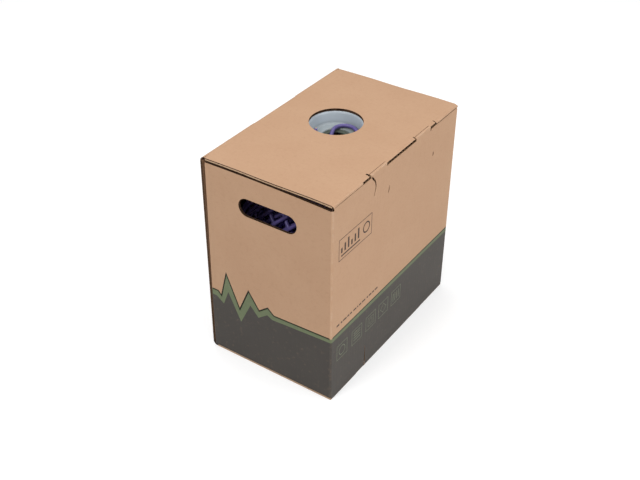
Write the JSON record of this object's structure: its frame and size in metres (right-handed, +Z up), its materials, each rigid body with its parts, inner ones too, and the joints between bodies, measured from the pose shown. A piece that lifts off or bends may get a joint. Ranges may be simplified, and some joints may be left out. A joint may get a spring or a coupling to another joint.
{
  "type": "cable spool box",
  "caption": "Corrugated dispenser carton with a cable spool on a fixed axle, a bell-mouthed payout funnel under the lid and hinged end panels with handholds.",
  "frame": {"origin": "centre of the resting face under the bottom panel", "axes": "+Z up; -Y towards the front end panel with the handhold nearest the viewer; +X towards the right wall that both end panels fold out of; the spool turns about X"},
  "size_m": [0.226, 0.347, 0.35],
  "materials": {
    "kraft_board": "uncoated kraft corrugated board, partly printed dark grey and green",
    "fibreboard": "smooth pressed fibreboard",
    "paper_tube": "spiral-wound paper tube",
    "grey_plastic": "light blue-grey moulded plastic, satin",
    "axle_plastic": "dark extruded plastic tube",
    "grommet_rubber": "dark grey-green elastomer",
    "zinc_steel": "bright zinc plate",
    "cable_jacket": "violet cable jacket, satin"
  },
  "bodies": {
    "carton": {"right_wall": "kraft_board", "top_panel": "kraft_board", "left_wall": "kraft_board", "bottom_panel": "kraft_board", "glue_flap": "kraft_board", "inner_board_right": "kraft_board", "inner_board_left": "kraft_board", "axle_tube": "axle_plastic", "axle_bush_right": "grey_plastic", "axle_bush_left": "grey_plastic", "payout_funnel": "grey_plastic", "throat_grommet": "grommet_rubber", "funnel_backing_plate": "fibreboard", "cable_tail": "cable_jacket"},
    "front_end": {"front_end_panel": "kraft_board"},
    "front_flap": {"front_tuck_flap": "kraft_board"},
    "back_end": {"back_end_panel": "kraft_board"},
    "back_flap": {"back_tuck_flap": "kraft_board"},
    "spool": {"spool_barrel": "paper_tube", "spool_flange_right": "fibreboard", "spool_flange_left": "fibreboard", "hub_plate_right": "grey_plastic", "hub_plate_left": "grey_plastic", "tie_rod_1": "zinc_steel", "tie_rod_2": "zinc_steel", "tie_rod_3": "zinc_steel", "tie_nut_1": "zinc_steel", "tie_nut_2": "zinc_steel", "tie_nut_3": "zinc_steel", "cable_winding": "cable_jacket"}
  },
  "joints": [
    {"name": "spool_spin", "type": "hinge", "parent": "carton", "child": "spool", "pos_m": [0, 0, 0.175], "axis": [1, 0, 0], "continuous": true},
    {"name": "front_open", "type": "hinge", "parent": "carton", "child": "front_end", "pos_m": [0.113, -0.1735, 0.175], "axis": [0, 0, 1], "range_deg": [0, 115]},
    {"name": "front_tuck", "type": "hinge", "parent": "front_end", "child": "front_flap", "pos_m": [-0.1048, -0.1735, 0.175], "axis": [0, 0, 1], "range_deg": [0, 18]},
    {"name": "back_open", "type": "hinge", "parent": "carton", "child": "back_end", "pos_m": [0.113, 0.1735, 0.175], "axis": [0, 0, -1], "range_deg": [0, 115]},
    {"name": "back_tuck", "type": "hinge", "parent": "back_end", "child": "back_flap", "pos_m": [-0.1048, 0.1735, 0.175], "axis": [0, 0, -1], "range_deg": [0, 18]}
  ],
  "couplings": [
    {"joint": "front_tuck", "follows": "front_open", "ratio": 0.15},
    {"joint": "back_tuck", "follows": "back_open", "ratio": 0.15}
  ]
}
